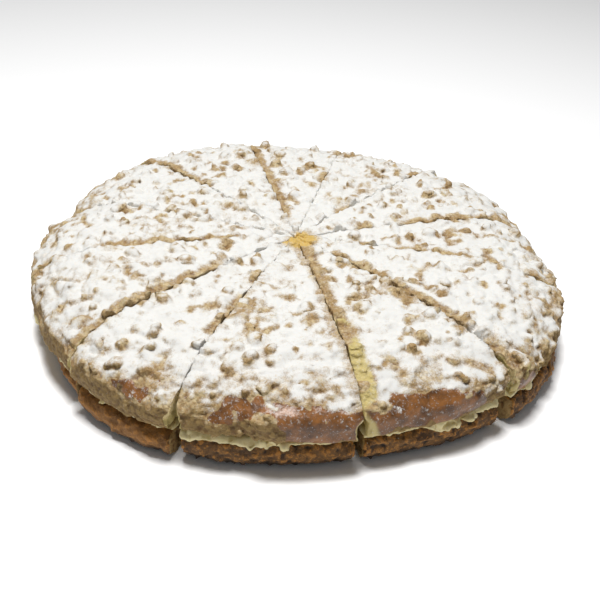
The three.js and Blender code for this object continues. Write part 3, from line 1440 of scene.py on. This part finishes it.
    def section(self, angle: float, reach: float) -> list[tuple[float, float]]:
        """Gives the closed outline of the top in one direction, with room left for crumbs.

        Args:
            angle: The direction.
            reach: Distance to the rim there.

        Returns:
            Points round the outline, from the tip along the underside.
        """
        turn = np.array(angle)
        low_ones = [crust for crust in self.crusts if crust[2] < self.low_crust]
        bare = max(float(around(turn, start, end)) for start, end, _, _ in low_ones)
        room = self.crumb_room * (1 - 0.85 * bare)
        drop = float(self.sagged(turn))
        under = self.inward(reach, 0.0, self.stops[0])
        start, top = self.hang
        side = []
        for out, z in self.rim:
            lowered = drop * (1 - min(z / top, 1)) if out > start else 0.0
            side.append((reach - room + out * MM, z * MM - lowered))
        over = self.inward(reach, 0.0, self.stops[1])[::-1]
        return under + side + [(r, self.dome(r) - self.crumb_room) for r, _ in over]

    def limits(self) -> tuple[float, float, float]:
        """Between the cream and the highest crumbs."""
        return self.level, self.level + self.height + 1.2 * MM, 0.5 * MM

    def trim(self, points: np.ndarray, low: float, high: float, out: float) -> np.ndarray:
        """Trims as every layer does, but lets the rim hang over the cream.

        Args:
            points: The points to trim, before any slide.
            low: Lowest height that is kept, behind the rim.
            high: Greatest height that is kept.
            out: How far past the rim a point may stand.

        Returns:
            The trimmed points.
        """
        angle, past = self.polar(points)
        lowest = low - self.sagged(angle) * smooth(-5.5 * MM, -3.5 * MM, past)
        return super().trim(points, lowest, high, out)

    def crumbled(self, points: np.ndarray, normal: np.ndarray, cut: Cut) -> np.ndarray:
        """Says where one of its faces has crumbled, more on faces that look to the front.

        Args:
            points: The points, before any slide.
            normal: The face's outward direction.
            cut: The cut along the face.

        Returns:
            A share from 0, where sugar bridges the cut, to 1, where crumbs fell out of it.
        """
        share = span(points) / self.wedge.outline.radius
        fallen = 0.35 + 0.65 * float(smooth(0.35, -0.1, normal[1]))
        return fallen * cut.crumbled(share + self.raggedness.at(points, self.seed))

    def bridge(self, points: np.ndarray, cut: Cut) -> np.ndarray:
        """Lets the upper crumbs meet those across a cut, where it doesn't gape.

        Args:
            points: The points, before any slide.
            cut: The cut that they lean into.

        Returns:
            How far past the face each may stand.
        """
        lift = smooth(6 * MM, 12 * MM, points[:, 2] - self.level)
        radius = span(points)
        closed = 1 - cut.gape * cut.crumbled(radius / self.wedge.outline.radius)
        stuck = self.stick * smooth(11 * MM, 7 * MM, radius)
        return closed * lift * (cut.half_gap(radius) - self.slack + stuck)

    def pitted(self, points: np.ndarray) -> np.ndarray:
        """Says where the streusel lies in small pits that the sugar did not fill."""
        wide, small = (kind.at(points * (1, 1, 0.3), self.seed) for kind in self.pits)
        return np.maximum(wide, small)

    def from_pool(self, points: np.ndarray) -> np.ndarray:
        """Gives each point's level distance from the middle of the pool."""
        return span(points, self.pool)

    def lowered(self, points: np.ndarray) -> np.ndarray:
        """Says how far the bed is sunk: in pits, along crumbled cuts, and around the pool.

        Args:
            points: The points, before any slide.

        Returns:
            A depth for each.
        """
        worn = self.worn_depth * (0.7 + self.wear.at(points, self.seed))
        sunk = self.pit_depth * self.pitted(points)
        for (normal, _, cut), depth in zip(self.wedge.faces(), self.inside(points)):
            slope = smooth(6.5 * MM, 0.3 * MM, depth) * (0.15 + 0.85 * self.crumbled(points, normal, cut))
            sunk = sunk + worn * slope * cut.wear + self.rounding * smooth(20 * MM, 0.0, depth)
        return sunk + self.pool_depth * smooth(19 * MM, 3 * MM, self.from_pool(points))

    def cover(self, piece: bpy.types.Object) -> None:
        """Raises the bed, and adds clumps of streusel, then single crumbs among them.

        Args:
            piece: The blank.
        """
        surface = Surface(piece.data)
        points, normals = surface.points, surface.normals()
        angle, past = self.polar(points)
        rise = points[:, 2] - self.level
        start, end, high = self.cluster
        relief = 0.8 * MM + self.swells.at(points, self.seed) - self.lowered(points)
        bulge = (self.bulges.at(points, self.seed) - 0.6 * MM) * smooth(-12 * MM, -2 * MM, past)
        bulge += 1.8 * MM * around(angle, start, end) * smooth(high * MM, 4 * MM, rise)
        over = smooth(0.3, 0.8, normals[:, 2])
        surface.points = points + normals * (bulge * (1 - over))[:, None]
        surface.points[:, 2] += relief * over
        surface.write()
        open_side = np.maximum(smooth(-0.3, 0.2, normals[:, 2]), smooth(2 * MM, 5 * MM, rise))
        bare = smooth(0.2, 0.6, self.crust_at(points))
        plain = 0.9 * around(angle, *self.plain) * smooth(15 * MM, 10 * MM, rise)
        back_rim = 0.95 * smooth(-26 * MM, -14 * MM, past) * smooth(-0.1, 0.3, np.sin(angle))
        crowd = open_side * smooth(-2 * MM, 3 * MM, rise)
        surface.keep("crumbs", crowd * (1 - bare) * (1 - plain) * (1 - back_rim))
        self.scatter.press(piece, self.clumps, self.seed, self.finish)
        self.scatter.press(piece, self.singles, self.seed + 1, self.finish)

    def sculpt(self, surface: Surface) -> None:
        """Settles the sugar, smooths the crust, crumbles the cut faces, and marks them all.

        Args:
            surface: The knitted skin.
        """
        points, normals = surface.points, surface.normals()
        lumpy = (0.3 + 0.7 * smooth(0.2, 0.7, normals[:, 2])) * (1 - self.crust_at(points))
        surface.points = points + normals * (self.billows(points) * lumpy)[:, None]
        points, normals = surface.points, surface.normals()
        soft = surface.blurred(points, 7)
        hollow = ((soft - points) * normals).sum(1)
        facing = surface.blurred(normals, 2)[:, 2]
        crust = smooth(0.3, 0.7, self.crust_at(points))
        sugar = self.sugar_at(points, facing, hollow, crust)
        cut = smooth(1.3 * MM, 0.4 * MM, np.minimum(*self.inside(points)))
        cut *= smooth(0.75, 0.35, np.abs(normals[:, 2]))
        surface.points = self.settled(surface, soft, sugar, crust)
        self.crumble(surface, points)
        surface.keep("hollow", surface.hollows(0.55 * MM))
        surface.keep("sugar", surface.blurred(sugar, 3))
        surface.keep("crust", crust)
        self.mark(surface, points, cut, facing)

    def billows(self, points: np.ndarray) -> np.ndarray:
        """Gives the height of the round lumps that the streusel baked into."""
        wide, fine = self.billow.at(points, self.seed), self.fine_billow.at(points, self.seed)
        return np.abs(wide) + np.abs(fine) - 1.1 * MM

    def settled(
        self, surface: Surface, soft: np.ndarray, sugar: np.ndarray, crust: np.ndarray
    ) -> np.ndarray:
        """Lets sugar fill the bed, tightens the crust over it, and roughens what is bare.

        Args:
            surface: The skin.
            soft: Its points, smoothed.
            sugar: How thickly sugar lies at each.
            crust: How far each is bare crust.

        Returns:
            The moved points.
        """
        points, normals = surface.points, surface.normals()
        softer = surface.blurred(soft, 9)
        tight = surface.blurred(softer, 6)
        filling = 0.6 * sugar * (1 - 0.9 * self.closed(points))
        moved = points + (softer - points) * filling[:, None]
        moved += (tight - points) * (0.9 * crust * (1 - sugar))[:, None]
        out = sugar * (self.sugar_depth + self.sugar_waves.at(points, self.seed))
        out += crust * self.blisters.at(points * (1, 1, 1.8), self.seed)
        out += pile(self.grain, points, self.seed) * (1 - sugar) * (1 - crust)
        return moved + normals * out[:, None]

    def crumble(self, surface: Surface, points: np.ndarray) -> None:
        """Leans the cut faces towards those across the cuts, and eats them away where crumbs fell out.

        Args:
            surface: The settled skin.
            points: Its points before they settled.
        """
        rise, middle = points[:, 2] - self.level, span(points)
        eaten = 0.2 * MM + np.maximum(self.bites.at(points, self.seed), 0)
        eaten += 0.7 * MM * self.nibbles.at(points, self.seed)
        inner = smooth(9 * MM, 3 * MM, middle) * smooth(8 * MM, 14 * MM, rise)
        surface.points[:, :2] *= (1 - self.tip_pull * inner / np.maximum(middle, 1 * MM))[:, None]
        lower = smooth(12 * MM, 7 * MM, rise)
        for (normal, _, cut), depth in zip(self.wedge.faces(), self.inside(points)):
            bitten = np.maximum(0.25 * self.crumbled(points, normal, cut), lower)
            push = self.bridge(points, cut) + self.lean - (eaten + self.lean) * bitten
            surface.points[:, :2] += (push * smooth(2.2 * MM, 0.3 * MM, depth))[:, None] * normal

    def mark(self, surface: Surface, points: np.ndarray, cut: np.ndarray, facing: np.ndarray) -> None:
        """Stores where the cut faces, the wall of the rim, the smears of cream and the pool are.

        Args:
            surface: The finished skin.
            points: Its points before they settled.
            cut: How far each is on a cut face.
            facing: How far each faces up.
        """
        _, past = self.polar(points)
        rise = points[:, 2] - self.level
        low = smooth(11 * MM, 2 * MM, rise + self.smear_top.at(points, self.seed))
        pool = self.from_pool(points) + self.pool_border.at(points, self.seed)
        surface.keep("cut", cut * smooth(0.5 * MM, 3 * MM, 20 * MM - rise))
        surface.keep("wall", smooth(0.5, 0.2, facing) * smooth(-14 * MM, -6 * MM, past))
        surface.keep("smear", np.maximum(cut * low, self.creamy(points)))
        surface.keep("pool", smooth(11 * MM, 5.5 * MM, pool))

    def closed(self, points: np.ndarray) -> np.ndarray:
        """Says where a point lies along a stretch of a cut that sugar bridges.

        Args:
            points: The points, before any slide.

        Returns:
            A share from 0, elsewhere, to 1, on such a stretch.
        """
        share = span(points) / self.wedge.outline.radius
        amount = np.zeros(len(points))
        for (_, _, cut), depth in zip(self.wedge.faces(), self.inside(points)):
            amount = np.maximum(amount, smooth(3 * MM, 1 * MM, depth) * (1 - cut.crumbled(share)))
        return amount

    def creamy(self, points: np.ndarray) -> np.ndarray:
        """Says where cream was dragged up those faces beside the most worn cuts that look to the left.

        Args:
            points: The points, before any slide.

        Returns:
            A share from 0, clean, to 1, covered in cream.
        """
        share = span(points) / self.wedge.outline.radius
        patches = self.smears.at(points, self.seed)
        amount = np.zeros(len(points))
        for (normal, _, cut), depth in zip(self.wedge.faces(), self.inside(points)):
            worn = float(smooth(1.05, 1.2, np.array(cut.wear)) * smooth(0.2, -0.2, normal[0]))
            start = 0.5 + 0.6 * (1.7 - cut.wear)
            near = smooth(start, start + 0.2, share) * smooth(8.5 * MM, 3 * MM, depth)
            amount = np.maximum(amount, worn * patches * near)
        return amount

    def sugar_at(
        self, points: np.ndarray, facing: np.ndarray, hollow: np.ndarray, crust: np.ndarray
    ) -> np.ndarray:
        """Says how thickly sugar lies.

        Args:
            points: The points, before any slide.
            facing: How far each faces up, from -1 to 1.
            hollow: How deep each lies in a crevice.
            crust: How far each is bare crust.

        Returns:
            A share from 0, bare, to 1, thick.
        """
        seed = self.seed
        rise = points[:, 2] - self.level
        drift = pile(self.drifts, points, seed) + 0.05 + self.wide_drift.at(points, 0)
        amount = smooth(0.15, 1.0, facing + drift)
        amount *= 1 - 0.9 * self.pitted(points) * smooth(0.99, 0.85, facing - self.shelter.at(points, seed))
        amount *= 1 - 0.4 * smooth(0.35 * MM, 0.9 * MM, hollow)
        amount *= self.kept_at_rim(points, rise) * self.kept_at_cuts(points)
        amount = np.maximum(amount, 0.2 * smooth(0.0, 0.8, facing))
        flecks = self.flecks.at(points, seed) * self.flecked.at(points, seed)
        amount = amount * (1 - crust) + (0.02 + 0.6 * flecks) * smooth(-0.1, 0.7, facing) * crust
        off_pool = smooth(6 * MM, 11 * MM, self.from_pool(points))
        return np.maximum(amount, 0.85 * self.closed(points) * smooth(15 * MM, 19 * MM, rise) * off_pool)

    def kept_at_rim(self, points: np.ndarray, rise: np.ndarray) -> np.ndarray:
        """Says how much of the sugar stayed on towards the rim.

        Args:
            points: The points, before any slide.
            rise: Their heights above the cream.

        Returns:
            A share for each.
        """
        angle, past = self.polar(points)
        start, end, _ = self.cluster
        border = rise - 5 * MM * around(angle, 195, 300, 12) + self.rim_border.at(points, self.seed)
        border += 8 * MM * around(angle, start, end, 1.5) * smooth(3 * MM, 6 * MM, rise)
        thin = 0.25 + 0.45 * np.maximum(np.cos(angle - self.shaken_side), 0)
        off = thin * smooth(-30 * MM, -4 * MM, past) * self.shaken.at(points, self.seed)
        return smooth(3 * MM, 9 * MM, border) * (1 - off)

    def kept_at_cuts(self, points: np.ndarray) -> np.ndarray:
        """Says how much of the sugar stayed on beside crumbled cuts, the pool and smears of cream.

        Args:
            points: The points, before any slide.

        Returns:
            A share for each.
        """
        ragged = pile(self.spill_border, points, self.seed)
        kept = 1 - 0.8 * self.creamy(points)
        kept *= 1 - 0.9 * smooth(12 * MM, 6 * MM, self.from_pool(points) + ragged)
        for (normal, _, cut), depth in zip(self.wedge.faces(), self.inside(points)):
            opened = self.crumbled(points, normal, cut)
            away = depth + ragged - 1.6 * MM * opened * cut.wear
            kept *= 1 - 0.95 * smooth(2.4 * MM, 0.0, away) * smooth(0.3, 0.6, opened)
        return kept


# ---------------------------------------------------------------- the studio


@dataclass
class Studio:
    """A pale floor, soft light from above, and the camera. Its angles are in degrees."""

    lens: float = 54.0
    sensor: float = 36.0
    clip_start: float = 10 * MM
    elevation: float = 33.2
    roll: float = 2.8
    distance: float = 458 * MM
    aim: tuple[float, float, float] = (3.2 * MM, -36.3 * MM, 25 * MM)
    sky: float = 0.21
    key_power: float = 13.6
    key_size: float = 0.24
    key_place: tuple[float, float, float] = (-0.06, -0.1, 1.1)
    floor_reach: float = 4.0

    def floor(self) -> bpy.types.Object:
        """Makes the floor.

        Returns:
            The floor, in the scene.
        """
        reach = self.floor_reach
        corners = np.array([(-reach, -reach, 0), (reach, -reach, 0), (reach, reach, 0), (-reach, reach, 0)])
        mesh = make_mesh("floor", corners, [(0, 1, 2, 3)])
        mesh.materials.append(FloorFinish().material())
        floor = bpy.data.objects.new("floor", mesh)
        bpy.context.scene.collection.objects.link(floor)
        return floor

    def light(self) -> None:
        """Lights the scene with an even white surround and one large soft lamp."""
        world = bpy.data.worlds.new("studio")
        world.use_nodes = True
        world.node_tree.nodes["Background"].inputs["Color"].default_value = (1, 1, 1, 1)
        world.node_tree.nodes["Background"].inputs["Strength"].default_value = self.sky
        bpy.context.scene.world = world
        lamp = bpy.data.lights.new("key", "AREA")
        lamp.energy, lamp.size = self.key_power, self.key_size
        key = bpy.data.objects.new("key", lamp)
        key.location = self.key_place
        key.rotation_euler = (-Vector(self.key_place)).to_track_quat("-Z", "Y").to_euler()
        bpy.context.scene.collection.objects.link(key)
        bpy.context.scene.view_settings.view_transform = "Standard"

    def camera(self) -> None:
        """Places the camera."""
        tilt, roll = math.radians(self.elevation), math.radians(self.roll)
        back = Vector((0, -math.cos(tilt), math.sin(tilt)))
        right = Vector((1, 0, 0))
        turn = Matrix((right, back.cross(right), back)).transposed() @ Matrix.Rotation(roll, 3, "Z")
        lens = bpy.data.cameras.new("camera")
        lens.lens, lens.sensor_width, lens.clip_start = self.lens, self.sensor, self.clip_start
        camera = bpy.data.objects.new("camera", lens)
        camera.matrix_world = Matrix.Translation(Vector(self.aim) + back * self.distance) @ turn.to_4x4()
        bpy.context.scene.collection.objects.link(camera)
        bpy.context.scene.camera = camera


@dataclass
class Pastry:
    """The whole round."""

    plan: CutPlan = CutPlan()

    def build(self) -> None:
        """Builds the three layers of every slice."""
        shift = self.plan.centring()
        scatter = Scatter("Press crumbs in", "crumbs")
        sponge = SpongeFinish().material()
        cream = CreamFinish().material()
        streusel = StreuselFinish().material()
        for wedge in self.plan.lay_out():
            SpongeBase(wedge, shift, sponge, scatter).build()
            CreamBed(wedge, shift, cream, scatter).build()
            StreuselTop(wedge, shift, streusel, scatter).build()


def main() -> None:
    """Builds the pastry and the studio round it."""
    logging.basicConfig(level=logging.INFO, format="%(message)s")
    Pastry().build()
    studio = Studio()
    studio.floor()
    studio.light()
    studio.camera()


if __name__ == "__main__":
    main()
